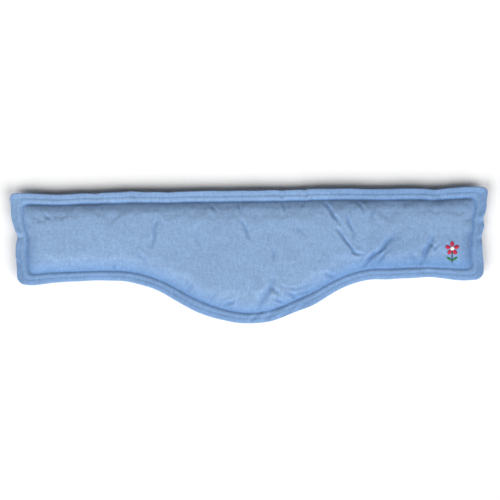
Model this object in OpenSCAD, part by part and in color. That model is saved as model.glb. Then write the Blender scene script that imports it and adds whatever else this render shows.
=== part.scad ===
// Contoured hot and cold gel pack: a long soft wrap with one rounded lobe.
// Two brushed fabric faces and two clear films are welded together along the border
// by two parallel lines, and the films hold the gel between them.
// It lies flat: X runs along its length, Y up to its straight edge, Z away from the table.

/* [Outline] */
// Length of the pack along its straight upper edge
pack_length = 520; // [460:5:640]
// Height of the pack at its ends, above and below the lobe's root
end_height = 98; // [85:1:130]
// How far the lobe reaches below the rest of the lower edge
lobe_drop = 47; // [20:1:70]
// Distance from the lobe's middle to where it joins the lower edge
lobe_half_width = 148; // [110:1:170]
// How much shorter the lower edge is than the upper edge, at each end
end_taper = 7.5; // [0:0.5:12]
// How far each end pulls in between its corners
end_pull_in = 2; // [0:0.5:4]
// Radius of the outer corners
corner_radius = 7; // [4:0.5:12]

/* [Filling] */
// Thickness of the pack where the gel fills it
pack_thickness = 17; // [14:0.5:26]
// Height of the border's middle plane above the table
border_level = 8; // [6:0.5:10]
// Distance over which the filled part rises to its full thickness
rise_width = 11; // [9:0.5:16]

/* [Layers] */
// Thickness of each brushed fabric face
fabric_thickness = 0.9; // [0.6:0.05:1.2]
// Thickness of each film
film_thickness = 0.3; // [0.2:0.05:0.4]
// Room between the fabric and the film inside the welded border
loose_gap = 0.5; // [0.45:0.05:0.8]

/* [Welded border] */
// Distance from the edge to the middle of the outer weld line
outer_weld_inset = 5.6; // [4:0.1:6.5]
// Width of the outer weld line
outer_weld_width = 1.2; // [0.8:0.1:1.6]
// Distance from the edge to the middle of the inner weld line
inner_weld_inset = 11.4; // [10:0.1:14]
// Width of the inner weld line
inner_weld_width = 2; // [1.4:0.1:2.6]
// Depth that a weld presses into the fabric
weld_depth = 0.55; // [0.3:0.05:0.6]
// How far the fabric swells between the two welds
bead_rise = 0.25; // [0:0.05:0.5]

/* [Embroidery] */
// Gap between the embroidery's backing and the rounded rise at the right end
motif_end_gap = 0.4; // [0.2:0.1:60]
// Gap between the embroidery's backing and the foot of the rise at the lower edge
motif_foot_gap = 2.2; // [0.5:0.1:12]
// Height of the whole motif, from petal tip to stem foot
motif_height = 23; // [16:1:24]
// How far the embroidery stands above the fabric
thread_height = 0.7; // [0.4:0.1:1.2]
// Gap kept under the embroidery so that the brushed surface is not crushed
thread_clearance = 0.05; // [0.05:0.05:0.2]

/* [Hidden] */

// Outline
upper_edge = (end_height + lobe_drop) / 2;
lower_edge = upper_edge - end_height;
straight_stations = 31;
corner_stations = 5;
chain = straight_stations + 2 * corner_stations + 2;
ring_size = 2 * chain + 2;

// Layers at the border, measured from its middle plane
full_height = film_thickness + fabric_thickness;
pressed_height = full_height - weld_depth;
outer_groove_share = 0.6;
outer_groove_height = full_height - outer_groove_share * weld_depth;
edge_rounding = 1;
chamber_inset = inner_weld_inset + inner_weld_width / 2;
rise_power = 2.1;
rise_steps = [0, 0.08, 0.2, 0.38, 0.6, 0.8, 1];
rise_end = chamber_inset + rise_width;
gap_open_step = rise_steps[1];

// Embroidery
stitch_rounding = 0.45;
stitch_side_share = 0.45;
petal_count = 5;
petal_reach = 0.215 * motif_height;
petal_length = 0.23 * motif_height;
petal_width = 0.78 * petal_length;
petal_gap = 0.25;
centre_radius = petal_reach - petal_length / 2 - petal_gap;
motif_half_width = petal_reach + petal_length / 2;
stem_width = 1.1;
stem_gap = 0.3;
leaf_length = 0.26 * motif_height;
leaf_width = 0.42 * leaf_length;
leaf_angle = 38;
leaf_rise = 0.1 * motif_height;
backing_margin = 1.2;
backing_thickness = 0.15;
bobbin_thickness = 0.1;
layer_clearance = 0.12;
// The backing starts beside the rounded corner of the outline at its foot's inset
foot_inset = rise_inset(gap_open_step) + motif_foot_gap;
end_inset = max(rise_end, foot_inset + corner_radius);
motif_y = lower_edge + foot_inset + backing_margin + motif_height / 2;
motif_x = end_line(lower_edge + foot_inset) - end_inset - motif_end_gap
    - backing_margin - motif_half_width;
flower_y = motif_y + motif_height / 2 - motif_half_width;
stem_foot = motif_y - motif_height / 2;
stem_top = flower_y - centre_radius - stem_gap;
foot_half_width = stem_width / 2 + stem_gap + leaf_length * cos(leaf_angle);

// Lower edge with its lobe, and its slope, at a distance x from the middle
function lobe_share(x) = abs(x) < lobe_half_width ? (1 + cos(180 * x / lobe_half_width)) / 2 : 0;
function lower_line(x) = lower_edge - lobe_drop * lobe_share(x);
function lower_slope(x) = abs(x) < lobe_half_width
    ? lobe_drop / 2 * PI / lobe_half_width * sin(180 * x / lobe_half_width)
    : 0;

// Half length of the pack at height y, on the tapered and pulled-in ends
function end_share(y) = (upper_edge - corner_radius - y) / (end_height - 2 * corner_radius);
function end_line(y) = pack_length / 2 - end_taper * end_share(y)
    - 4 * end_pull_in * end_share(y) * (1 - end_share(y));

// One quarter of the ring: its corner's centre, then points around the corner.
// Every ring has the same corner radius, so inner lines stay as round as the edge.
function upper_centre(inset) = let (y = upper_edge - inset - corner_radius)
    [end_line(y) - inset - corner_radius, y];
function lower_centre(inset) = let (y = lower_edge + inset + corner_radius)
    [end_line(y) - inset - corner_radius, y];
function corner_points(centre, radius, from, to) = [
    for (i = [0 : corner_stations - 1])
        let (angle = from + (to - from) * i / (corner_stations - 1))
            [centre.x + radius * cos(angle), centre.y + radius * sin(angle)]
];
function mirrored(points) = [for (i = [len(points) - 1 : -1 : 0]) [-points[i].x, points[i].y]];
function end_point(inset, share) = let (
    y = upper_centre(inset).y * (1 - share) + lower_centre(inset).y * share
) [end_line(y) - inset, y];

// Points of the outline at an inset, from the left end's middle over the upper edge,
// around the right end and back along the lower edge
function right_upper(inset) = concat(
    corner_points(upper_centre(inset), corner_radius, 90, 0),
    [end_point(inset, 0.25)]
);
function right_lower(inset) = concat(
    [end_point(inset, 0.75)],
    corner_points(lower_centre(inset), corner_radius, 0, -90)
);
function station(half_length, i) = half_length * (2 * i / (straight_stations + 1) - 1);
function upper_stations(inset) = [
    for (i = [1 : straight_stations]) [station(upper_centre(inset).x, i), upper_edge - inset]
];
function lower_stations(inset) = [
    for (i = [straight_stations : -1 : 1])
        let (x = station(lower_centre(inset).x, i))
            [x, lower_line(x) + inset * sqrt(1 + pow(lower_slope(x), 2))]
];
function outline(inset) = concat(
    [[-end_point(inset, 0.5).x, end_point(inset, 0.5).y]],
    mirrored(right_upper(inset)), upper_stations(inset), right_upper(inset),
    [end_point(inset, 0.5)],
    right_lower(inset), lower_stations(inset), mirrored(right_lower(inset))
);

// Closed solid through a stack of outlines, each level given as [inset, z]
module ring_stack(levels) {
    points = [for (level = levels, p = outline(level[0])) [p.x, p.y, level[1]]];
    last = (len(levels) - 1) * ring_size;
    // Each quad is split from its inner corner, so layers that touch share their facets
    sides = [
        for (level = [0 : len(levels) - 2], i = [0 : ring_size - 1])
            let (a = level * ring_size, b = a + ring_size, j = (i + 1) % ring_size)
                each levels[level][0] > levels[level + 1][0]
                    ? [[b + i, b + j, a + i], [b + j, a + j, a + i]]
                    : [[b + i, b + j, a + j], [b + i, a + j, a + i]]
    ];
    caps = [
        for (start = [0, last], i = [0 : chain])
            let (
                p = start + i, q = start + i + 1,
                r = start + (ring_size - i - 1) % ring_size,
                s = start + (ring_size - i) % ring_size
            )
                each start == 0
                    ? (i == 0 ? [[p, q, r]] : i == chain ? [[p, q, s]] : [[p, q, r], [p, r, s]])
                    : (i == 0 ? [[r, q, p]] : i == chain ? [[s, q, p]] : [[r, q, p], [s, r, p]])
    ];
    polyhedron(points, concat(sides, caps), convexity = 6);
}

// Heights above the border's middle plane, on the side that has this much room
function rise(step) = 1 - pow(1 - step, rise_power);
function rise_inset(step) = chamber_inset + step * rise_width;
function face_height(step, room) = pressed_height + (room - pressed_height) * rise(step);
function fabric_inside(step, room) = max(film_thickness, face_height(step, room) - fabric_thickness);
function film_outside(step, room) = max(
    film_thickness,
    fabric_inside(step, room) - loose_gap * min(1, step / gap_open_step)
);
function film_inside(step, room) = film_outside(step, room) - film_thickness;

front_room = pack_thickness - border_level;
back_room = border_level;

// Fabric over the border, with its two pressed lines and the bead between them
border_levels = [
    [0, pressed_height],
    [edge_rounding, full_height],
    [outer_weld_inset - outer_weld_width / 2, full_height],
    [outer_weld_inset, outer_groove_height],
    [outer_weld_inset + outer_weld_width / 2, full_height],
    [(outer_weld_inset + inner_weld_inset) / 2, full_height + bead_rise],
    [inner_weld_inset - inner_weld_width / 2, full_height],
    [inner_weld_inset, pressed_height],
];
function reversed(list) = [for (i = [len(list) - 1 : -1 : 0]) list[i]];
function placed(levels, side) = [for (level = levels) [level[0], border_level + side * level[1]]];
function face_levels(room) = concat(
    [[0, film_thickness]],
    border_levels,
    [for (step = rise_steps) [rise_inset(step), face_height(step, room)]]
);
function lining_levels(room) = [for (step = rise_steps) [rise_inset(step), fabric_inside(step, room)]];
function film_face_levels(room) = concat(
    [[0, film_thickness]],
    [for (step = rise_steps) [rise_inset(step), film_outside(step, room)]]
);
function film_lining_levels(room) = concat(
    [[0, 0]],
    [for (step = rise_steps) [rise_inset(step), film_inside(step, room)]]
);

// Front pieces run from their outer cap to their inner cap, back pieces the other way
module front_fabric() {
    color("#8fb0dc")
        ring_stack(placed(concat(reversed(face_levels(front_room)), lining_levels(front_room)), 1));
}

module back_fabric() {
    color("#86a8d6")
        ring_stack(placed(concat(reversed(lining_levels(back_room)), face_levels(back_room)), -1));
}

module front_film() {
    color("#e4ecf5")
        ring_stack(placed(
            concat(reversed(film_face_levels(front_room)), film_lining_levels(front_room)), 1
        ));
}

module back_film() {
    color("#e4ecf5")
        ring_stack(placed(
            concat(reversed(film_lining_levels(back_room)), film_face_levels(back_room)), -1
        ));
}

module gel_filling() {
    front = [for (step = rise_steps) [rise_inset(step), film_inside(step, front_room)]];
    back = [for (step = rise_steps) if (step > 0) [rise_inset(step), film_inside(step, back_room)]];
    color("#3f7fd0")
        ring_stack(concat(placed(reversed(front), 1), placed(back, -1)));
}

// Heights over the straight part of the lower edge, where they depend on y alone
function height_at(y, heights) = border_level + lookup(y - lower_edge, heights);
front_heights = [for (step = rise_steps) [rise_inset(step), face_height(step, front_room)]];
lining_heights = [for (step = rise_steps) [rise_inset(step), fabric_inside(step, front_room)]];

// The values in rising order, with a fold line of the rise wherever it crosses their span
function sorted(list) = len(list) < 2 ? list : let (pivot = list[floor(len(list) / 2)]) concat(
    sorted([for (value = list) if (value < pivot) value]),
    [pivot],
    sorted([for (value = list) if (value > pivot) value])
);
row_gap = 0.1;
fold_lines = [for (step = rise_steps) lower_edge + rise_inset(step)];
function near_fold(y) = min([for (line = fold_lines) abs(y - line)]) < row_gap;
function with_folds(rows) = sorted(concat(
    [rows[0], rows[len(rows) - 1]],
    [for (i = [1 : len(rows) - 2]) if (!near_fold(rows[i])) rows[i]],
    [
        for (line = fold_lines)
            if (line > rows[0] + row_gap && line < rows[len(rows) - 1] - row_gap) line
    ]
));

// Solid laid over or under the front fabric, from rows of [y, left, right]. Its long sides
// are rounded over by this width, and its rows follow every fold line of the rise.
module laid_patch(rows, heights, offset, thickness, rounding) {
    side_share = rounding > 0 ? stitch_side_share : 1;
    sections = [
        for (row = rows)
            let (
                base = height_at(row[0], heights) + offset,
                side = base + side_share * thickness,
                soft = min(rounding, (row[2] - row[1]) / 4)
            )
                each [
                    [row[1], row[0], base],
                    [row[1], row[0], side],
                    [row[1] + soft, row[0], base + thickness],
                    [row[2] - soft, row[0], base + thickness],
                    [row[2], row[0], side],
                    [row[2], row[0], base],
                ]
    ];
    // A flat patch has square sides, so its section has four corners and not six
    corners = rounding > 0 ? [0, 1, 2, 3, 4, 5] : [0, 2, 3, 5];
    n = len(corners);
    points = [for (i = [0 : len(rows) - 1], corner = corners) sections[6 * i + corner]];
    last = n * (len(rows) - 1);
    faces = concat(
        [
            for (i = [0 : len(rows) - 2], k = [0 : n - 1])
                let (a = n * i, b = a + n, next = (k + 1) % n)
                    each [[a + k, b + k, b + next], [a + k, b + next, a + next]]
        ],
        [for (k = [1 : n - 2]) [0, k, k + 1]],
        [for (k = [1 : n - 2]) [last + k + 1, last + k, last]]
    );
    polyhedron(points, faces, convexity = 4);
}

// Rows of an ellipse with its long axis at an angle, and of a rectangle
function oval_rows(centre, length, width, angle) = let (
    p = 4 / pow(length, 2),
    q = 4 / pow(width, 2),
    a = p * pow(cos(angle), 2) + q * pow(sin(angle), 2),
    b = 2 * sin(angle) * cos(angle) * (p - q),
    c = p * pow(sin(angle), 2) + q * pow(cos(angle), 2),
    reach = 1 / sqrt(c - b * b / (4 * a)),
    shares = [-0.99, -0.88, -0.66, -0.33, 0, 0.33, 0.66, 0.88, 0.99]
) [
    for (y = with_folds([for (share = shares) centre.y + share * reach]))
        let (
            dy = y - centre.y,
            root = sqrt(max(0, pow(b * dy, 2) - 4 * a * (c * dy * dy - 1)))
        )
            [y, centre.x + (-b * dy - root) / (2 * a), centre.x + (-b * dy + root) / (2 * a)]
];
function straight_rows(low, high, half_width) = [
    for (y = with_folds([low, high])) [y, motif_x - half_width, motif_x + half_width]
];

// Rows of a patch under the whole motif, narrow at the leaves and wide from the flower up
function motif_rows(margin) = [
    for (y = with_folds([stem_foot - margin, flower_y, motif_y + motif_height / 2 + margin]))
        let (
            share = min(1, (y - stem_foot + margin) / (flower_y - stem_foot + margin)),
            half = margin + foot_half_width + share * (motif_half_width - foot_half_width)
        )
            [y, motif_x - half, motif_x + half]
];

// Satin stitches standing on the front fabric
module satin(rows) {
    laid_patch(rows, front_heights, thread_clearance, thread_height, stitch_rounding);
}

module motif_petals() {
    for (i = [0 : petal_count - 1]) {
        // The stem passes between the two lowest petals
        angle = -90 + 360 * (i + 0.5) / petal_count;
        centre = [motif_x, flower_y] + petal_reach * [cos(angle), sin(angle)];
        color("#c8203a") satin(oval_rows(centre, petal_length, petal_width, angle));
    }
}

module motif_centre() {
    color("#f4f2ee")
        satin(oval_rows([motif_x, flower_y], 2 * centre_radius, 2 * centre_radius, 0));
}

module motif_leaves() {
    for (side = [-1, 1]) {
        reach = leaf_length / 2;
        root = stem_width / 2 + stem_gap;
        centre = [
            motif_x + side * (root + reach * cos(leaf_angle)),
            stem_foot + leaf_rise + reach * sin(leaf_angle),
        ];
        color("#2f7f3f") satin(oval_rows(centre, leaf_length, leaf_width, side * leaf_angle));
    }
}

module motif_stem() {
    color("#1f3f2c") satin(straight_rows(stem_foot, stem_top, stem_width / 2));
}

// Thin flat layers between the front fabric and the front film
module embroidery_backing() {
    color("#f0f0ea")
        laid_patch(
            motif_rows(backing_margin), lining_heights,
            -layer_clearance - backing_thickness, backing_thickness, 0
        );
}

module motif_bobbin_thread() {
    color("#ffffff")
        laid_patch(
            motif_rows(0), lining_heights,
            -layer_clearance - backing_thickness - bobbin_thickness, bobbin_thickness, 0
        );
}

front_fabric();
front_film();
gel_filling();
back_film();
back_fabric();
embroidery_backing();
motif_bobbin_thread();
motif_petals();
motif_centre();
motif_leaves();
motif_stem();
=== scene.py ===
"""Looks of a contoured hot and cold gel pack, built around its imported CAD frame.

The two brushed fabric faces are one skin: it is laid on the pattern, puckered by a cloth
simulation and creased. The films and the gel are laid inside it, and the embroidery is made
thread by thread on the front.
"""
import math

import bmesh
import bpy
import numpy as np
from bpy.props import FloatProperty, FloatVectorProperty, IntProperty, PointerProperty
from mathutils import Matrix, Vector, noise
from mathutils.bvhtree import BVHTree


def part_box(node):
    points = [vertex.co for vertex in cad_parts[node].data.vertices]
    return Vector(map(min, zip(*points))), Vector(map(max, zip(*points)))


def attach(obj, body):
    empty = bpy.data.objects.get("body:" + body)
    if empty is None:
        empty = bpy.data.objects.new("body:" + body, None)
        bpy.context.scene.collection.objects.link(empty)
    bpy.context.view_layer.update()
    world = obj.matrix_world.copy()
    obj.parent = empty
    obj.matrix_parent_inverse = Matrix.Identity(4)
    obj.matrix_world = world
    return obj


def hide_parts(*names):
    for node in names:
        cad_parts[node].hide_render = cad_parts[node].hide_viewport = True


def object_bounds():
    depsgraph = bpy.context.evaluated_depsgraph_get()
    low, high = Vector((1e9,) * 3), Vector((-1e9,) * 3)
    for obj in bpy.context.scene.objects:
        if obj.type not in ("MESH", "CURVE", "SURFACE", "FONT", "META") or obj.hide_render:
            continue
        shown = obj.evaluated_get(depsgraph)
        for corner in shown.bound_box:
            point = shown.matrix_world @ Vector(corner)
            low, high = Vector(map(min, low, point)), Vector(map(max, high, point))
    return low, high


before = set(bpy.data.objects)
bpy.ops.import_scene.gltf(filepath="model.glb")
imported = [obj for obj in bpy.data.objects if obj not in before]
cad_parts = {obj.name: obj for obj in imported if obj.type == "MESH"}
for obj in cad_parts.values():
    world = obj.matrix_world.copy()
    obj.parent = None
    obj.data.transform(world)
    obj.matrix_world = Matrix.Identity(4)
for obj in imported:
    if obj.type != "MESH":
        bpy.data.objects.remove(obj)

bl_info = {
    "name": "Contoured Gel Pack",
    "version": (1, 0, 0),
    "blender": (4, 5, 0),
    "location": "View3D > Sidebar > Gel Pack",
    "description": "Builds a soft fabric faced hot and cold gel pack around its CAD frame",
    "category": "Object",
}

MM = 0.001
CAD_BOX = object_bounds()
FRONT_LOW, FRONT_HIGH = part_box("front_fabric")
MOTIF_LOW, MOTIF_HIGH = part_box("motif_bobbin_thread")
FRONT, BACK = 1, -1
# The cloth simulation's last frame
LAST_FRAME = 20
# The motif's proportions, as shares of its height, and its gaps
PETALS = 5
PETAL_REACH = 0.215
PETAL_LENGTH = 0.23
PETAL_GAP = 0.25 * MM
LEAF_LENGTH = 0.26
LEAF_RISE = 0.1
LEAF_ANGLE = math.radians(38)
STEM_WIDTH = 1.1 * MM
STEM_GAP = 0.3 * MM
# How far a crease wanders off its straight lines, and how far in an edge's pull is felt
CREASE_WANDER = 2.6 * MM
PULL_REACH = 42 * MM
# The lowest a point may sink freely; below this it settles softly on the table
SETTLING_HEIGHT = 0.6 * MM
# Slow waves of the faces between the welds: height in millimetres, waves per metre, seed
FACE_WAVES = ((0.7, 22, 3.0), (0.45, 60, 7.0), (0.16, 170, 13.0))


# Sizes and colours --------------------


def metres(name, description, default):
    unit = {"min": 0, "subtype": "DISTANCE", "unit": "LENGTH"}
    return FloatProperty(name=name, description=description, default=default, **unit)


def decimal(name, description, default):
    return FloatProperty(name=name, description=description, default=default)


def integer(name, description, default):
    return IntProperty(name=name, description=description, default=default)


def paint(name, description, default):
    return FloatVectorProperty(
        name=name, description=description, default=default, size=3, min=0, max=1, subtype="COLOR"
    )


class GelPackSizes(bpy.types.PropertyGroup):
    """Sizes of the pack, in metres."""

    lobe_drop: metres("Lobe drop", "How far the lobe reaches below the lower edge", 47 * MM)
    lobe_half_width: metres("Lobe half width", "From the lobe's middle to the lower edge", 148 * MM)
    end_taper: metres("End taper", "How much shorter the lower edge is at each end", 7.5 * MM)
    end_pull_in: metres("End pull-in", "How far each end pulls in between its corners", 2 * MM)
    corner_radius: metres("Corner radius", "Radius of the outer corners", 7 * MM)
    border_level: metres("Border level", "Height of the border's middle plane", 8.8 * MM)
    rise_width: metres("Rise width", "From the inner weld to the full thickness", 11 * MM)
    dome_width: metres("Dome width", "From the end of the rise to the flat middle", 18 * MM)
    settle: metres("Settle", "How much the middle lies below the full thickness", 1.4 * MM)
    fabric: metres("Fabric", "Thickness of each fabric face", 0.9 * MM)
    film: metres("Film", "Thickness of each film", 0.3 * MM)
    loose_gap: metres("Loose gap", "Room between fabric and film inside the welds", 0.5 * MM)
    outer_weld: metres("Outer weld", "From the edge to the outer weld line", 5.6 * MM)
    outer_weld_width: metres("Outer weld width", "Width of the outer weld line", 1.2 * MM)
    inner_weld: metres("Inner weld", "From the edge to the inner weld line", 11.4 * MM)
    inner_weld_width: metres("Inner weld width", "Width of the inner weld line", 2 * MM)
    weld_depth: metres("Weld depth", "Depth that a weld presses into the fabric", 0.55 * MM)
    bead_rise: metres("Bead rise", "How far the fabric swells between the welds", 0.35 * MM)
    thread: metres("Thread", "Thickness of the embroidery thread", 0.36 * MM)
    middle_columns: integer("Middle columns", "Mesh columns between the ends", 190)
    middle_rows: integer("Middle rows", "Mesh rows between the edges", 26)
    pressure: decimal("Pressure", "Pressure of the gel in the simulation", 4)
    swell: decimal("Swell", "Spare cloth in the simulation, as a share", 0.012)
    cap: metres("Movement cap", "How far the simulation may move a point", 0.7 * MM)


class GelPackColours(bpy.types.PropertyGroup):
    """Colours of the pack's materials."""

    fabric: paint("Fabric", "Brushed fabric of the front", (0.248, 0.386, 0.610))
    back: paint("Back fabric", "Brushed fabric of the back", (0.244, 0.380, 0.604))
    # The pressed colour is the fabric's own colour in its weld lines, and also painted shade in
    # creases, inside the inner weld and on the lower rise; its deeper, bluer tone is the colour
    # that shade takes
    pressed: paint("Pressed fabric", "Fabric in a weld line or a crease", (0.130, 0.252, 0.480))
    film: paint("Film", "Clear weldable film", (0.80, 0.86, 0.92))
    gel: paint("Gel", "Gel filling", (0.10, 0.30, 0.70))
    backing: paint("Backing", "Non-woven sheet behind the embroidery", (0.85, 0.85, 0.82))
    red: paint("Red thread", "Petals", (0.52, 0.012, 0.055))
    white: paint("White thread", "Flower centre and lower thread", (0.90, 0.90, 0.88))
    green: paint("Green thread", "Leaves", (0.02, 0.22, 0.06))
    dark: paint("Dark thread", "Stem", (0.01, 0.05, 0.03))
    floor: paint("Floor", "Plain pale floor", (0.97, 0.97, 0.97))


def sizes():
    return bpy.context.scene.gel_pack_sizes


def colours():
    return bpy.context.scene.gel_pack_colours


# Materials --------------------


class Value:
    """A shader socket. Arithmetic on it adds the Math nodes that the expression needs."""

    def __init__(self, finish, socket):
        self.finish = finish
        self.socket = socket

    def maths(self, operation, *values):
        inputs = dict(enumerate(values))
        return self.finish.node("ShaderNodeMath", {"operation": operation}, inputs)

    def __add__(self, other):
        return self.maths("ADD", self, other)

    def __sub__(self, other):
        return self.maths("SUBTRACT", self, other)

    def __rsub__(self, other):
        return self.maths("SUBTRACT", other, self)

    def __mul__(self, other):
        return self.maths("MULTIPLY", self, other)

    __radd__ = __add__
    __rmul__ = __mul__


def opaque(colour):
    """A socket as it is, or a plain colour with full alpha."""
    return colour if isinstance(colour, Value) else (*colour, 1)


class Finish:
    """One material and its node tree."""

    def __init__(self, name, **shader):
        self.material = bpy.data.materials.new(name)
        self.material.use_nodes = True
        self.tree = self.material.node_tree
        self.shader = self.tree.nodes["Principled BSDF"]
        for socket, value in shader.items():
            self.shader.inputs[socket.replace("_", " ")].default_value = value

    def join(self, slot, value):
        if isinstance(value, Value):
            self.tree.links.new(value.socket, slot)
        else:
            slot.default_value = value

    def node(self, kind, settings, inputs, output=0):
        """Adds a node of this type, makes its settings, fills its sockets and gives one output."""
        node = self.tree.nodes.new(kind)
        for name, value in settings.items():
            setattr(node, name, value)
        for name, value in inputs.items():
            self.join(node.inputs[name], value)
        return Value(self, node.outputs[output])

    def place(self, stretch=(1, 1, 1)):
        """Object coordinates, stretched along each axis."""
        at = self.node("ShaderNodeTexCoord", {}, {}, "Object")
        return self.node("ShaderNodeMapping", {}, {"Vector": at, "Scale": stretch})

    def grain(self, scale, detail=2.0, stretch=(1, 1, 1), roughness=0.5):
        """Noise about zero, with this many features per metre."""
        inputs = {"Scale": scale, "Detail": detail, "Roughness": roughness}
        inputs["Vector"] = self.place(stretch)
        return self.node("ShaderNodeTexNoise", {}, inputs, "Fac") - 0.5

    def attribute(self, name):
        return self.node("ShaderNodeAttribute", {"attribute_name": name}, {}, "Fac")

    def tinted(self, colour, tone):
        """The colour multiplied by a tone near one."""
        kind = {"data_type": "RGBA", "blend_type": "MULTIPLY", "clamp_result": False}
        return self.node("ShaderNodeMix", kind, {0: 1.0, 6: opaque(colour), 7: tone}, 2)

    def blended(self, share, first, second):
        """From one colour or socket to another, by a share."""
        inputs = {0: share, 6: opaque(first), 7: opaque(second)}
        return self.node("ShaderNodeMix", {"data_type": "RGBA"}, inputs, 2)

    def bump(self, height, distance, strength):
        inputs = {"Height": height, "Distance": distance, "Strength": strength}
        self.feed("Normal", self.node("ShaderNodeBump", {}, inputs))

    def feed(self, socket, value):
        self.join(self.shader.inputs[socket], value)


def brushed_fabric(name, colour, pressed_and_shade_colour):
    """Short brushed nap, faintly streaked along Y and deeper in colour where the pressed attribute
    is high: in the weld lines, and as painted shade in creases, inside the inner weld and on the
    lower rise.
    """
    f = Finish(
        name, Roughness=0.95, Sheen_Weight=0.45, Sheen_Roughness=0.5, Specular_IOR_Level=0.15
    )
    drift = f.grain(14, 2)
    mottle = f.grain(260, 3, roughness=0.65)
    pile = f.grain(760, 2)
    streak = f.grain(1, 3, (620, 120, 300))
    nap = f.grain(1900, 2)
    fuzz = f.grain(5200, 1)
    pressed = f.attribute("pressed")
    tone = 1.0 + drift * 0.14 + mottle * 0.42 + pile * 0.55
    tone = tone + streak * 0.30 + nap * 0.30 + fuzz * 0.16
    # Painted shade: the base colour turns to the deeper colour in creases, inside the inner weld
    # and on the lower rise, as well as in the real weld lines
    f.feed("Base Color", f.tinted(f.blended(pressed, colour, pressed_and_shade_colour), tone))
    f.feed("Roughness", 0.93 + nap * 0.2 - pressed * 0.12)
    loft = 1.0 - pressed * 0.6
    f.bump((nap * 0.8 + fuzz * 0.35 + mottle * 1.1 + streak * 0.5) * loft, 0.45 * MM, 0.7)
    return f.material


def clear_film(name, colour):
    """Clear vinyl film with a faint haze and scuffs."""
    f = Finish(name, Roughness=0.25, IOR=1.5, Alpha=0.5, Coat_Roughness=0.2)
    haze = f.grain(45, 3)
    scuff = f.grain(1, 2, (900, 90, 500))
    f.feed("Base Color", f.tinted(colour, 1.0 + haze * 0.10))
    f.feed("Roughness", 0.22 + haze * 0.2 + scuff * 0.15)
    f.bump(haze * 0.6 + scuff * 0.2, 0.1 * MM, 0.4)
    return f.material


def wet_gel(name, colour):
    """Dense gel, clouded by small bubbles."""
    f = Finish(name, Roughness=0.12, IOR=1.36, Alpha=0.85)
    cloud = f.grain(60, 4)
    bubbles = f.node("ShaderNodeTexVoronoi", {}, {"Vector": f.place(), "Scale": 420.0}, "Distance")
    f.feed("Base Color", f.tinted(colour, 1.0 + cloud * 0.35))
    f.feed("Roughness", 0.12 + cloud * 0.1)
    f.bump(bubbles * 0.5 + cloud, 0.2 * MM, 0.3)
    return f.material


def satin_thread(name, colour):
    """Twisted lustrous embroidery thread."""
    f = Finish(name, Roughness=0.42, Sheen_Weight=0.3, Sheen_Roughness=0.35, Specular_IOR_Level=0.5)
    along = f.attribute("twist")
    ply = f.node("ShaderNodeMath", {"operation": "SINE"}, {0: along * (2 * math.pi)})
    wear = f.grain(1500, 2)
    # The ply also lightens and darkens the colour along the twist: painted highlight and shade on
    # the plies
    f.feed("Base Color", f.tinted(colour, 1.0 + ply * 0.12 + wear * 0.3))
    f.feed("Roughness", 0.42 + wear * 0.2)
    f.bump(ply * 0.5 + wear * 0.3, 0.06 * MM, 0.6)
    return f.material


def soft_sheet(name, colour):
    """Non-woven sheet of matted short fibres."""
    f = Finish(name, Roughness=0.95, Sheen_Weight=0.2)
    fibre = f.grain(1, 4, (700, 2200, 900), 0.7)
    cross = f.grain(1, 4, (2200, 700, 900), 0.7)
    f.feed("Base Color", f.tinted(colour, 1.0 + fibre * 0.15 + cross * 0.15))
    f.bump(fibre + cross, 0.08 * MM, 0.6)
    return f.material


def pale_floor(name, colour):
    """Matt paper backdrop with a barely visible tooth."""
    f = Finish(name, Roughness=0.9, Specular_IOR_Level=0.1)
    tooth = f.grain(700, 2)
    f.feed("Base Color", f.tinted(colour, 1.0 + tooth * 0.01))
    f.bump(tooth, 0.02 * MM, 0.2)
    return f.material


# Outline and section of the pack --------------------


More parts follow.
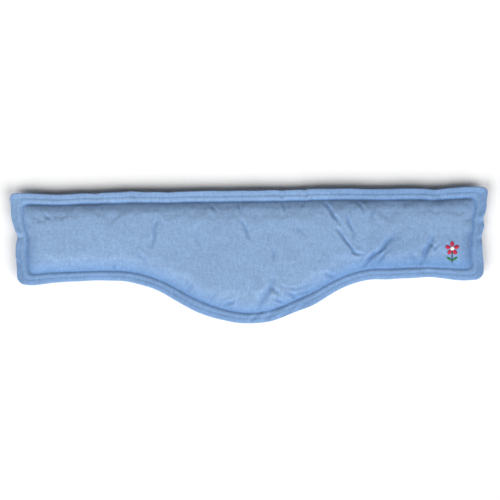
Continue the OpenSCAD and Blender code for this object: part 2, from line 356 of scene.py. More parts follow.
class Pattern:
    """The cut of the pack and its section, from the sizes. Arrays go in and arrays come out."""

    def __init__(self, s):
        self.s = s
        self.half_length = (FRONT_HIGH.x - FRONT_LOW.x) / 2
        self.upper = FRONT_HIGH.y
        self.lower = FRONT_LOW.y + s.lobe_drop
        self.thickness = FRONT_HIGH.z
        self.full = s.film + s.fabric
        self.pressed = self.full - s.weld_depth
        self.chamber = s.inner_weld + s.inner_weld_width / 2
        self.rise_end = self.chamber + s.rise_width
        self.room = {FRONT: self.thickness - s.settle - s.border_level, BACK: s.border_level}

    def lower_line(self, x):
        reach = self.s.lobe_half_width
        share = np.where(abs(x) < reach, (1 + np.cos(np.pi * x / reach)) / 2, 0)
        return self.lower - self.s.lobe_drop * share

    def lower_slope(self, x):
        reach = self.s.lobe_half_width
        steepest = self.s.lobe_drop / 2 * np.pi / reach
        return np.where(abs(x) < reach, steepest * np.sin(np.pi * x / reach), 0)

    def end_line(self, y):
        height = self.upper - self.lower
        share = (self.upper - self.s.corner_radius - y) / (height - 2 * self.s.corner_radius)
        pulled_in = 4 * self.s.end_pull_in * share * (1 - share)
        return self.half_length - self.s.end_taper * share - pulled_in

    def insets(self):
        """Where the mesh has its rows and columns beside an edge, as distances from that edge."""
        s = self.s
        outer, inner = s.outer_weld_width / 2, s.inner_weld_width / 2
        between = s.inner_weld - s.outer_weld
        steps = [0, 1 * MM, 3 * MM]
        steps += [s.outer_weld - 1.35 * outer, s.outer_weld, s.outer_weld + 1.35 * outer]
        steps += [s.outer_weld + between * 0.48, s.inner_weld - 1.2 * inner, s.inner_weld]
        return steps + [
            self.chamber + s.rise_width * share for share in (0.02, 0.16, 0.38, 0.66, 1)
        ]

    def loose(self, inset):
        """Share from 0 in the welds to 1 where the layers lie free of each other."""
        return np.clip((inset - self.chamber) / (2 * MM), 0, 1)

    def dome(self, x, y):
        """How far each point has risen over the low dome inside the border: 0 to 1."""
        reach = self.s.rise_width + self.s.dome_width
        gaps = (
            self.end_line(y) - abs(x),
            self.upper - y,
            (y - self.lower_line(x)) / np.sqrt(1 + self.lower_slope(x) ** 2),
        )
        share = 1
        for gap in gaps:
            share = share * (1 - (1 - np.clip((gap - self.chamber) / reach, 0, 1)) ** 2)
        return share

    def height(self, inset, side, dome=0):
        """Height of the fabric above the border's middle plane, on this side."""
        s = self.s

        def groove(middle, width):
            return np.exp(-(((inset - middle) / (0.62 * width)) ** 2))

        edge = np.clip(inset / (1.4 * MM), 0, 1)
        height = self.pressed + s.weld_depth * np.sqrt(1 - (1 - edge) ** 2)
        bead = np.clip((inset - s.outer_weld) / (s.inner_weld - s.outer_weld), 0, 1)
        height += s.bead_rise * np.sin(np.pi * bead)
        height -= 0.35 * s.weld_depth * groove(s.outer_weld, s.outer_weld_width)
        height -= s.weld_depth * groove(s.inner_weld, s.inner_weld_width)
        step = np.clip((inset - self.chamber) / s.rise_width, 0, 1)
        share = 0.78 * (1 - (1 - step) ** 2.1) + 0.22 * dome
        return height + (self.room[side] - self.full) * share

    def weld_press_and_painted_shade(self, inset):
        """How much the fabric is darkened: the welds press it, 1 in a weld line and 0 beside it; it
        is also darker towards the outer edge, and painted shade darkens the valley just inside the
        inner weld.
        """
        s = self.s
        share = 0.75 * np.exp(-(((inset - s.inner_weld) / (0.6 * s.inner_weld_width)) ** 2))
        share += 0.3 * np.exp(-(((inset - s.outer_weld) / (0.75 * s.outer_weld_width)) ** 2))
        share += 0.15 * np.clip(1 - inset / s.outer_weld, 0, 1) ** 0.5
        # Painted shade: the valley just inside the inner weld is darkened
        share += 0.7 * np.where(inset > s.inner_weld, np.exp(-(inset - s.inner_weld) / (6 * MM)), 0)
        return np.clip(share, 0, 1)


def rounded(a, b, inset, radius):
    """Bends a mesh ring's square corner into an arc. a and b are distances from the two edges."""
    near = (a - inset < radius) & (b - inset < radius)
    share = np.clip((np.maximum(a, b) - inset) / np.maximum(radius, 1e-9), 0, 1)
    turn = (1 - share) * np.pi / 4
    along = inset + radius - radius * np.sin(turn)
    across = inset + radius - radius * np.cos(turn)
    beside = a >= b
    return (
        np.where(near, np.where(beside, along, across), a),
        np.where(near, np.where(beside, across, along), b),
    )


def lay_out(pattern, u, v):
    """Where the grid's points lie, and their insets. u and v are column and row numbers."""
    s = pattern.s
    steps = np.array(pattern.insets())
    n = len(steps)

    def step_of(index, middle):
        last = 2 * n + middle - 2
        return np.where(index < n, index, np.where(index > last - n, last - index, -1))

    near_end = step_of(u, s.middle_columns)
    near_edge = step_of(v, s.middle_rows)
    column = np.where(near_end >= 0, steps[np.maximum(near_end, 0)], 0)
    row = np.where(near_edge >= 0, steps[np.maximum(near_edge, 0)], 0)
    across = (u - (n - 1)) / s.middle_columns
    up = (v - (n - 1)) / s.middle_rows
    side = np.where(u < n + s.middle_columns / 2, -1, 1)

    reach = pattern.half_length - steps[-1]
    x = np.where(near_end >= 0, side * (pattern.half_length - column), reach * (2 * across - 1))
    slant = np.sqrt(1 + pattern.lower_slope(x) ** 2)
    bottom = pattern.lower_line(x)
    top_row = pattern.upper - steps[-1]
    bottom_row = bottom + steps[-1] * slant
    y = np.where(
        near_edge < 0,
        bottom_row + (top_row - bottom_row) * up,
        np.where(v < n, bottom + row * slant, pattern.upper - row),
    )
    end = pattern.end_line(y)
    x = np.where(near_end >= 0, side * (end - column), (end - steps[-1]) * (2 * across - 1))

    a = end - abs(x)
    low_half = v < n + s.middle_rows / 2
    b = np.where(low_half, y - bottom, pattern.upper - y)
    ring = np.minimum(a, b)
    fade = np.clip(1 - (ring - pattern.rise_end) / (15 * MM), 0, 1)
    corner = abs(x) > s.lobe_half_width
    radius = np.where(corner, s.corner_radius * fade, 0)
    a2, b2 = rounded(a, b, ring, radius)
    y = np.where(corner, np.where(low_half, bottom + b2, pattern.upper - b2), y)
    x = np.where(corner, np.sign(x) * (pattern.end_line(y) - a2), x)

    far = pattern.rise_end + 10 * MM
    inset = np.minimum(np.where(near_end >= 0, column, far), np.where(near_edge >= 0, row, far))
    return x, y, inset


# The fabric faces --------------------

# Creases of the front, in millimetres: points along it, depth, half width, lip beside it
CREASES = (
    (((-99, 44), (-102, 29), (-107, 13)), 1.3, 1.9, 0.45),
    (((-120, 6), (-112, -8)), 0.8, 2.4, 0.30),
    (((-11, 42), (-3, 28), (0, 19)), 1.4, 1.8, 0.45),
    (((82, 58), (90, 47), (97, 37)), 1.9, 1.7, 0.70),
    (((94, 31), (105, 16), (114, 4), (122, 1)), 2.0, 1.7, 0.75),
    (((104, 47), (113, 27), (114, 20)), 1.6, 1.6, 0.55),
    (((154, 18), (135, 3), (124, -13), (117, -17)), 1.8, 2.3, 0.65),
    (((83, -18), (97, -24)), 1.2, 1.8, 0.40),
    (((24, 9), (27, -3)), 1.2, 1.7, 0.35),
    (((24, -20), (23, -31), (8, -54)), 1.6, 3.8, 0.45),
    (((22, -33), (34, -40)), 1.4, 2.2, 0.45),
    (((201, 22), (193, 5), (183, -11)), 1.1, 1.7, 0.45),
    (((194, 12), (188, 1)), 0.9, 1.6, 0.35),
    (((206, 14), (199, 3)), 0.8, 1.6, 0.30),
    (((136, 12), (128, -6)), 1.1, 1.6, 0.45),
    (((147, 3), (138, -10)), 0.9, 1.6, 0.35),
    (((-16, -45), (-28, -52)), 1.2, 1.8, 0.45),
    (((24, -44), (38, -51)), 1.5, 1.8, 0.50),
    (((38, -37), (50, -45)), 1.5, 1.8, 0.50),
    (((48, -41), (62, -38), (76, -35), (88, -28)), 1.6, 1.8, 0.50),
    (((34, -33), (52, -35), (68, -31)), 1.1, 1.8, 0.40),
    (((162, 24), (140, 3), (121, -17)), 1.1, 6.5, 0.40),
    (((200, 24), (184, -13)), 1.1, 5.0, 0.35),
    (((192, 14), (204, 4)), 0.8, 2.2, 0.30),
    (((174, 6), (182, -10)), 0.8, 2.2, 0.30),
    (((-41, 60), (-37, 50)), 1.2, 1.6, 0.45),
    (((-11, 60), (-9, 51)), 1.1, 1.6, 0.40),
    (((35, 61), (40, 51)), 1.2, 1.7, 0.45),
    (((60, 61), (57, 53)), 0.9, 1.6, 0.35),
    (((117, 61), (124, 51), (126, 47)), 1.3, 1.6, 0.55),
    (((135, 52), (133, 40)), 0.9, 1.8, 0.30),
    (((168, 61), (171, 53)), 0.8, 1.7, 0.30),
    (((-160, 60), (-158, 54)), 0.7, 1.6, 0.25),
    (((-222, 52), (-214, 44)), 0.7, 2.0, 0.25),
    (((-150, -14), (-146, -4)), 0.8, 1.9, 0.25),
    (((-70, -36), (-62, -27)), 1.0, 1.9, 0.35),
    (((-44, -47), (-38, -38)), 0.8, 1.8, 0.30),
    (((52, 34), (60, 22)), 0.6, 3.0, 0.25),
    (((-58, 30), (-52, 12)), 0.6, 3.2, 0.25),
)
# Shorter folds of the back, where it is pressed against the table and pulled at the lobe
BACK_CREASES = (
    (((-120, -16), (-104, -2)), 0.5, 3.0, 0.2),
    (((-60, -40), (-50, -22)), 0.5, 3.0, 0.2),
    (((62, -38), (50, -20)), 0.5, 3.0, 0.2),
    (((130, -15), (112, 2)), 0.5, 3.0, 0.2),
    (((20, 60), (24, 44)), 0.5, 2.6, 0.2),
    (((-90, 60), (-86, 46)), 0.5, 2.6, 0.2),
)
# Puckers that cross the border, in both faces
PUCKERS = (
    (((36, 74), (37, 62)), 1.1, 2.2, 0.4),
    (((62, 74), (60, 63)), 1.0, 2.0, 0.4),
    (((-128, 74), (-126, 64)), 0.8, 2.4, 0.3),
    (((203, 75), (206, 62)), 1.6, 4.5, 0.5),
    (((-262, 30), (-248, 22)), 1.4, 3.5, 0.5),
    (((-258, 2), (-250, -4)), 0.7, 2.5, 0.3),
    (((262, 40), (249, 34)), 1.2, 2.8, 0.5),
    (((260, 20), (249, 15)), 1.1, 2.6, 0.4),
    (((196, -28), (192, -16)), 1.1, 4.0, 0.4),
    (((-2, -74), (6, -62)), 1.0, 2.2, 0.5),
    (((12, -73), (22, -59)), 1.3, 2.4, 0.5),
    (((28, -70), (44, -55)), 1.0, 2.2, 0.5),
    (((50, -62), (58, -50)), 0.9, 2.2, 0.4),
    (((-90, -48), (-84, -36)), 0.6, 2.4, 0.3),
)
# How each edge is pulled off its cut line, in millimetres: place along it, outwards, spread
EDGE_PULLS = {
    "lower": (
        (-238, 2.4, 14), (-165, -1.9, 34), (-62, 3.6, 24), (72, 2.4, 17),
        (190, -0.8, 16), (236, 3.0, 20), (150, 0.6, 12),
    ),
    "upper": (
        (-205, -2.0, 24), (-88, -0.8, 10), (88, 1.3, 36), (36, -0.7, 3), (61, -0.8, 3),
        (203, -1.9, 10), (242, 1.3, 14), (-128, 0.7, 8), (-167, -0.8, 4),
    ),
    "left": ((46, 1.7, 10), (26, -2.0, 6), (4, 1.4, 13), (-16, 0.5, 5)),
    "right": ((50, 0.9, 6), (40, -0.9, 4), (30, 1.1, 4), (20, -0.8, 6), (-12, 2.1, 14)),
}


def crease_depth(x, y, creases):
    """How far the creases lower the cloth: each is a rounded valley with a low lip beside it."""
    aside, ahead = waves(x, y, 75, 31.0), waves(x, y, 75, 37.0)
    x, y = x + CREASE_WANDER * aside, y + CREASE_WANDER * ahead
    total = np.zeros_like(x)
    for points, depth, width, lip in creases:
        points = np.array(points) * MM
        width *= MM
        spans = np.linalg.norm(np.diff(points, axis=0), axis=1)
        length = spans.sum()
        nearest = np.full_like(x, 1e9)
        travel = np.zeros_like(x)
        start = 0
        for a, b, span in zip(points[:-1], points[1:], spans):
            run_x, run_y = b - a
            along = np.clip(((x - a[0]) * run_x + (y - a[1]) * run_y) / span**2, 0, 1)
            away = np.hypot(x - a[0] - along * run_x, y - a[1] - along * run_y)
            travel = np.where(away < nearest, start + along * span, travel)
            nearest = np.minimum(nearest, away)
            start += span
        ends = np.sin(np.pi * np.clip(travel / length, 0.0, 1.0)) ** 0.7
        valley = np.exp(-((nearest / width) ** 2))
        ridge = np.exp(-(((nearest - 1.9 * width) / (0.9 * width)) ** 2))
        fade = np.exp(-np.maximum(nearest - 3 * width, 0) / width)
        total += MM * (0.25 + 0.75 * ends) * (depth * valley - lip * ridge) * fade
    return total


def waves(x, y, scale, seed):
    """Smooth noise at each point, about zero, with this many waves per metre."""
    return np.array([noise.noise(Vector((a * scale, b * scale, seed))) for a, b in zip(x, y)])


class Skin:
    """The pack's outside, front and back, on one grid of columns and rows."""

    def __init__(self, pattern):
        self.pattern = pattern
        s = pattern.s
        steps = len(pattern.insets())
        self.columns = 2 * steps - 2 + s.middle_columns
        self.rows = 2 * steps - 2 + s.middle_rows
        sheet = bmesh.new()
        bmesh.ops.create_grid(sheet, x_segments=self.columns, y_segments=self.rows, size=1)
        at = np.array([v.co[:] for v in sheet.verts])
        u = np.rint((at[:, 0] + 1) / 2 * self.columns).astype(int)
        v = np.rint((at[:, 1] + 1) / 2 * self.rows).astype(int)
        self.sheet = sheet
        self.x, self.y, self.inset = lay_out(pattern, u, v)
        self.points = {side: self.laid(side) for side in (FRONT, BACK)}
        self.shift = {side: np.zeros((len(u), 3)) for side in (FRONT, BACK)}

    def laid(self, side):
        height = self.pattern.height(self.inset, side, self.pattern.dome(self.x, self.y))
        z = self.pattern.s.border_level + side * height
        return np.stack([self.x, self.y, z], axis=1)

    def face(self, side):
        """The grid as a bmesh on one side, facing outwards."""
        face = self.sheet.copy()
        for vert, place in zip(face.verts, self.points[side]):
            vert.co = place
        if side == BACK:
            bmesh.ops.reverse_faces(face, faces=face.faces)
        return face

    def simulate(self):
        """Fills the closed skin with pressure, its border held, and caps the movement softly."""
        s = self.pattern.s
        closed = bmesh.new()
        for side in (FRONT, BACK):
            mesh = bpy.data.meshes.new("half")
            self.face(side).to_mesh(mesh)
            closed.from_mesh(mesh)
            bpy.data.meshes.remove(mesh)
        bmesh.ops.bridge_loops(closed, edges=[e for e in closed.edges if e.is_boundary])
        mesh = bpy.data.meshes.new("cloth")
        closed.to_mesh(mesh)
        cloth = bpy.data.objects.new("cloth", mesh)
        bpy.context.collection.objects.link(cloth)
        held = cloth.vertex_groups.new(name="held")
        border = np.tile(self.inset <= self.pattern.chamber + 0.1 * MM, 2)
        held.add([int(index) for index in np.nonzero(border)[0]], 1.0, "ADD")
        modifier = cloth.modifiers.new("Cloth", "CLOTH")
        settings = modifier.settings
        settings.quality = 6
        settings.mass = 0.25
        settings.tension_stiffness = settings.compression_stiffness = 12
        settings.shear_stiffness = 4
        settings.bending_stiffness = 0.4
        settings.air_damping = 2
        settings.vertex_group_mass = "held"
        settings.use_pressure = True
        settings.uniform_pressure_force = s.pressure
        settings.shrink_min = settings.shrink_max = -s.swell
        settings.effector_weights.gravity = 0
        modifier.collision_settings.use_collision = False
        scene = bpy.context.scene
        modifier.point_cache.frame_start, modifier.point_cache.frame_end = 1, LAST_FRAME
        for step in range(1, LAST_FRAME + 1):
            scene.frame_set(step)
        done = cloth.evaluated_get(bpy.context.evaluated_depsgraph_get()).to_mesh()
        moved = np.empty(len(done.vertices) * 3)
        done.vertices.foreach_get("co", moved)
        moved = moved.reshape(-1, 3)
        scene.frame_set(1)
        bpy.data.objects.remove(cloth)
        for half, side in zip(np.split(moved[: 2 * len(self.x)], 2), (FRONT, BACK)):
            shift = half - self.points[side]
            size = np.linalg.norm(shift, axis=1, keepdims=True)
            self.shift[side] = shift * np.tanh(size / s.cap) * s.cap / np.maximum(size, 1e-9)


FACES = {}


def finished_faces():
    """The outside of the pack, front and back, made once for every operator."""
    if not FACES:
        made = Skin(Pattern(sizes()))
        made.simulate()
        FACES.update({side: finished_face(made, side) for side in (FRONT, BACK)})
    return FACES


def pulled(x, y, pattern):
    """The outline's points after the edges are pulled, with a fading effect towards the middle."""
    gaps = {
        "lower": y - pattern.lower_line(x),
        "upper": pattern.upper - y,
        "left": x + pattern.end_line(y),
        "right": pattern.end_line(y) - x,
    }
    moved = {}
    for edge, pulls in EDGE_PULLS.items():
        along = x if edge in ("lower", "upper") else y
        amount = sum(
            size * np.exp(-(((along / MM - at) / spread) ** 2)) for at, size, spread in pulls
        )
        moved[edge] = amount * MM * np.clip(1 - gaps[edge] / PULL_REACH, 0, 1) ** 1.5
    return x + moved["right"] - moved["left"], y + moved["upper"] - moved["lower"]


def numbers(mesh, name, kind="value", width=1):
    """A point attribute of the mesh as an array."""
    found = np.empty(len(mesh.vertices) * width)
    mesh.attributes[name].data.foreach_get(kind, found)
    return found.reshape(-1, width) if width > 1 else found


def finished_face(made, side):
    """One face at its final fineness, with its creases, its waves and its attributes."""
    pattern = made.pattern
    s = pattern.s
    mesh = bpy.data.meshes.new("face")
    face = made.face(side)
    layer = face.verts.layers.float.new("inset")
    drift = face.verts.layers.float_vector.new("shift")
    for vert, inset, shift in zip(face.verts, made.inset, made.shift[side]):
        vert[layer] = inset
        vert[drift] = shift
    face.to_mesh(mesh)
    holder = bpy.data.objects.new("face", mesh)
    bpy.context.collection.objects.link(holder)
    fine = holder.modifiers.new("Fine", "SUBSURF")
    fine.levels = fine.render_levels = 1
    evaluated = holder.evaluated_get(bpy.context.evaluated_depsgraph_get())
    smooth = bpy.data.meshes.new_from_object(evaluated)
    bpy.data.objects.remove(holder)

    x, y, z = numbers(smooth, "position", "vector", 3).T.copy()
    inset = numbers(smooth, "inset")
    shift = numbers(smooth, "shift", "vector", 3)

    inside = np.clip((inset - pattern.chamber) / (4 * MM), 0, 1)
    border = 1 - np.clip((inset - pattern.chamber) / (14 * MM), 0, 1)
    creases = CREASES if side == FRONT else BACK_CREASES
    z = s.border_level + side * pattern.height(inset, side, pattern.dome(x, y))
    z -= side * inside * crease_depth(x, y, creases)
    for rise, per_metre, seed in FACE_WAVES:
        z += side * inside * rise * MM * waves(x, y, per_metre, seed * side)
    # The border hangs in slow waves that both faces share, up at the ends and down at the lobe
    slack = np.clip(1 - inset / pattern.chamber, 0, 1)
    z += border * 1.6 * MM * waves(x, y, 14, 11.0) + slack * 1.3 * MM * waves(x, y, 45, 19.0)
    ends = np.exp(-(pattern.end_line(y) - abs(x)) / (9 * MM))
    lobe = np.exp(-(y - pattern.lower_line(x)) / (9 * MM))
    z += MM * slack**1.3 * (1.2 * ends - 3.2 * lobe * (1 - ends) + 1.6)
    z -= crease_depth(x, y, PUCKERS)
    x, y = pulled(x, y, pattern)
    y += slack * 0.8 * MM * waves(x, y, 38, 17.0)
    places = np.stack([x, y, z], axis=1) + shift * inside[:, None]
    low, z = SETTLING_HEIGHT, places[:, 2]
    places[:, 2] = np.where(z < low, low * np.exp(np.minimum(z / low - 1, 0)), z)
    smooth.vertices.foreach_set("co", places.ravel())
    smooth.update()
    return smooth


def shell(name, first, second, start=0.0):
    """A closed piece between two depths below one face, or below the front and the back.

    Each of first and second is a side and a function from inset to depth. Faces that lie nearer
    the edge than start are left out, and the rims are bridged.
    """
    body = bmesh.new()
    for side, depth in (first, second):
        layer_mesh = finished_faces()[side].copy()
        places = numbers(layer_mesh, "position", "vector", 3)
        normals = np.empty(places.size)
        layer_mesh.vertex_normals.foreach_get("vector", normals)
        inset = numbers(layer_mesh, "inset")
        steep = np.clip(abs(normals.reshape(-1, 3)[:, 2]), 0.6, 1)
        loose = Pattern(sizes()).loose(inset)
        places[:, 2] -= side * depth(inset) * (1 + loose * (1 / steep - 1))
        layer_mesh.vertices.foreach_set("co", places.ravel())
        body.from_mesh(layer_mesh)
        bpy.data.meshes.remove(layer_mesh)
    half = len(body.faces) // 2
    body.faces.ensure_lookup_table()
    if first[0] == second[0]:
        bmesh.ops.reverse_faces(body, faces=body.faces[half:])
    if start:
        layer = body.verts.layers.float["inset"]
        rim = [vert for vert in body.verts if vert[layer] < start]
        bmesh.ops.delete(body, geom=rim, context="VERTS")
    bmesh.ops.bridge_loops(body, edges=[e for e in body.edges if e.is_boundary])
    bmesh.ops.recalc_face_normals(body, faces=body.faces)
    mesh = bpy.data.meshes.new(name)
    body.to_mesh(mesh)
    body.free()
    return finish_piece(name, mesh)


def finish_piece(name, mesh):
    """A smooth shaded object at the origin that holds this mesh."""
    mesh.name = name
    piece = bpy.data.objects.new(name, mesh)
    bpy.context.collection.objects.link(piece)
    mesh.shade_smooth()
    return piece


def darkening_and_painted_shade(x, y, inset, pattern):
    """How much darker the fabric is made: all over the border and more towards the right end and
    the lower edge, in the middle towards the lower right, and as painted shade on the pad's lower
    rise.
    """
    right = np.clip((x - 60 * MM) / (70 * MM), 0, 1)
    low = np.clip((28 * MM - y) / (30 * MM), 0, 1)
    lower_side = y - pattern.lower_line(x) < pattern.upper - y
    slope = np.clip(1 - (inset - pattern.chamber) / (1.4 * pattern.s.rise_width), 0, 1)
    border = 0.18 + 0.32 * np.maximum(right, low)
    # Painted shade on the lower rise; the other terms only darken the fabric towards the lower
    # right
    middle = right * (0.1 + 0.24 * low) + 0.4 * slope * lower_side
    return np.where(inset < pattern.chamber, border, middle)


def mark_pressed_and_painted_shade(piece, pattern, creases):
    """Stores for the material how much the fabric is pressed in the welds at each point, together
    with painted shade in creases, inside the inner weld and on the lower rise, and the darker
    border and lower right.
    """
    x, y, _ = numbers(piece.data, "position", "vector", 3).T
    inset = numbers(piece.data, "inset")
    ends = np.clip(1 - (pattern.end_line(y) - abs(x)) / (20 * MM), 0, 1)
    # Painted shade: creases are darkened by their depth
    crease_shade = np.clip(crease_depth(x, y, creases) / (1.6 * MM), 0, 1) * (inset > pattern.chamber)
    share = pattern.weld_press_and_painted_shade(inset) * (1 - 0.55 * ends) + 0.75 * crease_shade
    share += darkening_and_painted_shade(x, y, inset, pattern)
    pressed = piece.data.attributes.new("pressed", "FLOAT", "POINT")
    pressed.data.foreach_set("value", np.clip(share, 0, 1))


def stand_for(piece, node, material):
    """The piece takes a CAD node's place, rides on its body and wears this material."""
    piece.data.materials.append(material)
    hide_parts(node)
    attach(piece, "root")


def cut_area(pattern):
    """Flat area of one face as it is cut."""
    x = np.linspace(-pattern.half_length, pattern.half_length, 400)
    whole = 2 * pattern.half_length * np.mean(pattern.upper - pattern.lower_line(x))
    return float(whole - pattern.s.end_taper * (pattern.upper - pattern.lower))


def below(pattern, depth):
    """Depth below a face: at the films' joint in the border, and this deep where it is loose."""

    def found(inset):
        loose = pattern.loose(inset)
        return (pattern.height(inset, BACK) - pattern.s.film) * (1 - loose) + depth * loose

    return found


class GELPACK_OT_fabric(bpy.types.Operator):
    """Make the front and back fabric faces."""

    bl_idname = "gelpack.fabric"
    bl_label = "Fabric faces"

    def execute(self, context):
        pattern = Pattern(sizes())
        lining = below(pattern, sizes().fabric)
        for name, side, tint, creases in (
            ("front_fabric", FRONT, colours().fabric, CREASES),
            ("back_fabric", BACK, colours().back, BACK_CREASES),
        ):
            piece = shell(name + "_face", (side, lambda inset: 0 * inset), (side, lining))
            mark_pressed_and_painted_shade(piece, pattern, creases)
            finish = brushed_fabric(name + "_finish", tint, colours().pressed)
            stand_for(piece, name, finish)
            cut_area(pattern)
        return {"FINISHED"}


class GELPACK_OT_filling(bpy.types.Operator):
    """Make the two films and the gel between them."""

    bl_idname = "gelpack.filling"
    bl_label = "Films and gel"

    def execute(self, context):
        s = sizes()
        pattern = Pattern(s)
        under_fabric = below(pattern, s.fabric + s.loose_gap)

        def under_film(inset):
            return under_fabric(inset) + s.film * 0.98

        film = clear_film("film_finish", colours().film)
        for name, side in (("front_film", FRONT), ("back_film", BACK)):
            piece = shell(name + "_sheet", (side, under_fabric), (side, under_film))
            stand_for(piece, name, film)
            cut_area(pattern)
        gel = shell("gel", (FRONT, under_film), (BACK, under_film), pattern.chamber)
        stand_for(gel, "gel_filling", wet_gel("gel_finish", colours().gel))
        return {"FINISHED"}


# The embroidery --------------------


class Ground:
    """The front fabric as a surface that embroidery is laid on."""

    def __init__(self):
        mesh = finished_faces()[FRONT]
        self.tree = BVHTree.FromPolygons(
            [v.co for v in mesh.vertices], [p.vertices[:] for p in mesh.polygons]
        )

    def at(self, x, y):
        hit = self.tree.ray_cast(Vector((x, y, 1)), Vector((0, 0, -1)))[0]
        if hit is None:
            raise RuntimeError("the embroidery runs off the front fabric")
        return hit.z


def lay_thread(body, points, radius, layer):
    """A thread through these points: a ring that is extruded from point to point and closed."""
    ring = bmesh.ops.create_circle(body, cap_ends=True, segments=6, radius=1)["verts"]
    start = [v.co.copy() for v in ring]
    travelled = 0.0
    last = len(points) - 1
    for index, point in enumerate(points):
        before, after = points[max(index - 1, 0)], points[min(index + 1, last)]
        turn = (after - before).to_track_quat("Z", "Y").to_matrix()
        if index:
            travelled += (point - before).length
            grown = bmesh.ops.extrude_edge_only(body, edges=ring_edges(ring))["geom"]
            fresh = [g for g in grown if isinstance(g, bmesh.types.BMVert)]
            ring = match_ring(ring, fresh)
        taper = 0.55 if index in (0, last) else 1.0
        for vert, flat in zip(ring, start):
            vert.co = point + turn @ (flat * radius * taper)
            vert[layer] = travelled / (1.1 * MM)
    bmesh.ops.contextual_create(body, geom=ring)


def ring_edges(ring):
    """The edges that join this ring's neighbours, each one once."""
    members = set(ring)
    edges = (e for v in ring for e in v.link_edges if e.other_vert(v) in members)
    return list(dict.fromkeys(edges))


def match_ring(ring, fresh):
    """The extruded vertices in the order of the ring they came from."""
    chosen = set(fresh)
    return [
        next(e.other_vert(v) for e in v.link_edges if e.other_vert(v) in chosen) for v in ring
    ]


class Embroidery:
    """One node of the motif: patches of satin stitches on the ground."""

    def __init__(self, name, ground):
        self.name = name
        self.ground = ground
        self.body = bmesh.new()
        self.twist = self.body.verts.layers.float.new("twist")

    def oval(self, x, y, length, width, angle, tilt=0.0):
        """Threads side by side across an oval whose long axis lies at an angle."""
        thread = sizes().thread
        along = Vector((math.cos(angle), math.sin(angle), 0))
        turned = angle + math.pi / 2 + tilt
        across = Vector((math.cos(turned), math.sin(turned), 0))
        rows = max(3, round(length / (0.82 * thread)))
        middle = Vector((x, y, 0))
        self.underlay(middle, along, length, width)
        for row in range(rows):
            place = (2 * (row + 0.5) / rows - 1) * 0.985
            half = width / 2 * math.sqrt(1 - place * place) + 0.12 * MM
            base = middle + along * (place * length / 2)
            path = []
            for share in (-1, -0.86, -0.45, 0, 0.45, 0.86, 1):
                path.append(self.over(base + across * (half * share), share, 0.35, 1.15))
            lay_thread(self.body, path, thread / 2, self.twist)

    def line(self, start, end, width):
        """A narrow column of slanting threads from start to end."""
        thread = sizes().thread
        start, end = Vector(start), Vector(end)
        run = end - start
        side = Vector((-run.y, run.x, 0)).normalized() * (width / 2)
        slant = run.normalized() * (0.45 * width)
        rows = round(run.length / (0.85 * thread))
        for row in range(rows):
            base = start + run * ((row + 0.5) / rows)
            path = []
            for share in (-1, -0.6, 0, 0.6, 1):
                path.append(self.over(base + (side + slant) * share, share, 0.25, 0.8))
            lay_thread(self.body, path, thread / 2, self.twist)

    def over(self, at, share, low, rise):
        """A thread's point over the ground: it arches up and dips into the cloth at its ends."""
        arch = low + rise * math.sqrt(1 - share**2) if abs(share) < 1 else -0.25
        return Vector((at.x, at.y, self.ground.at(at.x, at.y) + arch * sizes().thread))

    def underlay(self, middle, along, length, width):
        """A low pad of hidden stitches that lifts the satin."""
        pad = bmesh.ops.create_uvsphere(self.body, u_segments=18, v_segments=8, radius=1)["verts"]
        turn = Matrix.Rotation(math.atan2(along.y, along.x), 3, "Z")
        for vert in pad:
            flat = turn @ Vector((vert.co.x * length * 0.45, vert.co.y * width * 0.42, 0))
            at = middle + flat
            lift = vert.co.z * 0.42 * MM
            vert.co = Vector((at.x, at.y, self.ground.at(at.x, at.y) + lift))

    def done(self, node, slot, tint):
        bmesh.ops.recalc_face_normals(self.body, faces=self.body.faces)
        mesh = bpy.data.meshes.new(self.name)
        self.body.to_mesh(mesh)
        self.body.free()
        stand_for(finish_piece(self.name, mesh), node, satin_thread(slot + "_finish", tint))


class GELPACK_OT_embroidery(bpy.types.Operator):
    """Embroider the small flower on the front."""

    bl_idname = "gelpack.embroidery"
    bl_label = "Embroidered flower"

    def execute(self, context):
        ground = Ground()
        height = MOTIF_HIGH.y - MOTIF_LOW.y
        x = (MOTIF_LOW.x + MOTIF_HIGH.x) / 2
        half_width = (MOTIF_HIGH.x - MOTIF_LOW.x) / 2
        flower = MOTIF_HIGH.y - half_width
        foot = MOTIF_LOW.y
        petal_length = PETAL_LENGTH * height
        petal_reach = PETAL_REACH * height
        centre_radius = petal_reach - petal_length / 2 - PETAL_GAP

        petals = Embroidery("petals", ground)
        for petal in range(PETALS):
            # The stem passes between the two lowest petals
            angle = math.radians(-90 + 360 / PETALS * (petal + 0.5))
            petals.oval(
                x + petal_reach * math.cos(angle), flower + petal_reach * math.sin(angle),
                petal_length, 0.78 * petal_length, angle,
            )
        petals.done("motif_petals", "red_thread", colours().red)

        centre = Embroidery("flower_centre", ground)
        centre.oval(x, flower, 2 * centre_radius, 2 * centre_radius, math.radians(20))
        centre.done("motif_centre", "white_thread", colours().white)

        leaves = Embroidery("leaves", ground)
        leaf = LEAF_LENGTH * height
        for side in (-1, 1):
            root = STEM_WIDTH / 2 + STEM_GAP
            leaves.oval(
                x + side * (root + leaf / 2 * math.cos(LEAF_ANGLE)),
                foot + LEAF_RISE * height + leaf / 2 * math.sin(LEAF_ANGLE),
                leaf, 0.42 * leaf, side * LEAF_ANGLE, side * 0.35,
            )
        leaves.done("motif_leaves", "green_thread", colours().green)

        stem = Embroidery("stem", ground)
        stem.line((x, foot, 0), (x, flower - centre_radius - STEM_GAP, 0), STEM_WIDTH)
        stem.done("motif_stem", "dark_thread", colours().dark)
        return {"FINISHED"}


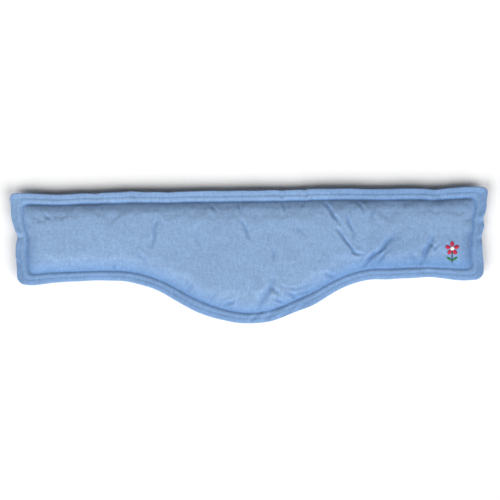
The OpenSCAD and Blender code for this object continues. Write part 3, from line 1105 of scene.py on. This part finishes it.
class GELPACK_OT_backing(bpy.types.Operator):
    """Lay the backing and the lower thread behind the embroidery."""

    bl_idname = "gelpack.backing"
    bl_label = "Embroidery backing"

    def execute(self, context):
        ground = Ground()
        s = sizes()
        low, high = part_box("embroidery_backing")
        depth = s.fabric + 0.14 * MM
        sheet, threads = (1.0, depth, 0.14 * MM), (0.86, depth + 0.15 * MM, 0.08 * MM)
        backing, white = colours().backing, colours().white
        for name, node, slot, tint, (share, depth, thickness) in (
            ("backing", "embroidery_backing", "embroidery_backing", backing, sheet),
            ("lower_thread", "motif_bobbin_thread", "bobbin_thread", white, threads),
        ):
            patch = bmesh.new()
            bmesh.ops.create_circle(patch, cap_ends=True, segments=40, radius=1)
            bmesh.ops.inset_region(patch, faces=patch.faces, thickness=0.12)
            bmesh.ops.poke(patch, faces=[max(patch.faces, key=lambda face: face.calc_area())])
            bmesh.ops.subdivide_edges(patch, edges=patch.edges, cuts=2, use_grid_fill=True)
            for vert in patch.verts:
                x = (low.x + high.x) / 2 + vert.co.x * share * (high.x - low.x) / 2
                y = (low.y + high.y) / 2 + vert.co.y * share * (high.y - low.y) / 2
                vert.co = Vector((x, y, ground.at(x, y) - depth))
            bmesh.ops.recalc_face_normals(patch, faces=patch.faces)
            bmesh.ops.solidify(patch, geom=patch.faces[:], thickness=thickness)
            bmesh.ops.recalc_face_normals(patch, faces=patch.faces)
            mesh = bpy.data.meshes.new(name)
            patch.to_mesh(mesh)
            patch.free()
            piece = finish_piece(name, mesh)
            stand_for(piece, node, soft_sheet(name + "_finish", tint))
        return {"FINISHED"}


# The stage --------------------


def soft_sun(name, elevation, turn, spread, strength):
    """A broad soft light from this elevation, turned this far from the front."""
    lamp = bpy.data.lights.new(name, "SUN")
    lamp.energy = strength
    lamp.angle = math.radians(spread)
    holder = bpy.data.objects.new(name, lamp)
    holder.rotation_euler = (math.radians(90 - elevation), 0, math.radians(turn))
    bpy.context.collection.objects.link(holder)


class GELPACK_OT_stage(bpy.types.Operator):
    """Set the floor, the lights and the camera."""

    bl_idname = "gelpack.stage"
    bl_label = "Stage"

    def execute(self, context):
        scene = context.scene
        low, high = CAD_BOX
        middle = (low + high) / 2
        length = high.x - low.x

        floor = bmesh.new()
        bmesh.ops.create_grid(floor, x_segments=8, y_segments=8, size=20)
        mesh = bpy.data.meshes.new("floor")
        floor.to_mesh(mesh)
        ground = bpy.data.objects.new("floor", mesh)
        scene.collection.objects.link(ground)
        ground.location.z = low.z
        mesh.materials.append(pale_floor("floor_finish", colours().floor))

        world = bpy.data.worlds.new("studio")
        world.use_nodes = True
        background = world.node_tree.nodes["Background"]
        background.inputs["Color"].default_value = (1, 1, 1, 1)
        background.inputs["Strength"].default_value = 0.09
        scene.world = world
        scene.view_settings.view_transform = "Standard"

        for name, turn in (("left_softbox", -42), ("right_softbox", 42)):
            soft_sun(name, elevation=39, turn=turn, spread=48, strength=2.5)

        # The view is a little wider than the pack and turned slightly
        frame_width = 1.048 * length
        camera = bpy.data.cameras.new("camera")
        camera.lens = 100
        holder = bpy.data.objects.new("camera", camera)
        distance = frame_width * camera.lens / camera.sensor_width
        holder.location = middle + Vector((0.001 * length, 0.0148 * length, distance))
        holder.rotation_euler = (0, 0, math.radians(-0.72))
        scene.collection.objects.link(holder)
        scene.camera = holder
        return {"FINISHED"}


# Add-on --------------------

OPERATORS = (
    GELPACK_OT_stage,
    GELPACK_OT_fabric,
    GELPACK_OT_filling,
    GELPACK_OT_embroidery,
    GELPACK_OT_backing,
)


class GELPACK_PT_panel(bpy.types.Panel):
    """Lists the steps, sizes and colours of the pack."""

    bl_idname = "GELPACK_PT_panel"
    bl_label = "Gel Pack"
    bl_space_type = "VIEW_3D"
    bl_region_type = "UI"
    bl_category = "Gel Pack"

    def draw(self, context):
        for step in OPERATORS:
            self.layout.operator(step.bl_idname)
        for group in (context.scene.gel_pack_sizes, context.scene.gel_pack_colours):
            box = self.layout.box()
            for name in group.__annotations__:
                box.prop(group, name)


CLASSES = (GelPackSizes, GelPackColours, *OPERATORS, GELPACK_PT_panel)


def register():
    for item in CLASSES:
        bpy.utils.register_class(item)
    bpy.types.Scene.gel_pack_sizes = PointerProperty(type=GelPackSizes)
    bpy.types.Scene.gel_pack_colours = PointerProperty(type=GelPackColours)


def unregister():
    del bpy.types.Scene.gel_pack_colours
    del bpy.types.Scene.gel_pack_sizes
    for item in reversed(CLASSES):
        bpy.utils.unregister_class(item)


def main():
    register()
    for step in OPERATORS:
        group, name = step.bl_idname.split(".")
        getattr(getattr(bpy.ops, group), name)()


if __name__ == "__main__":
    main()
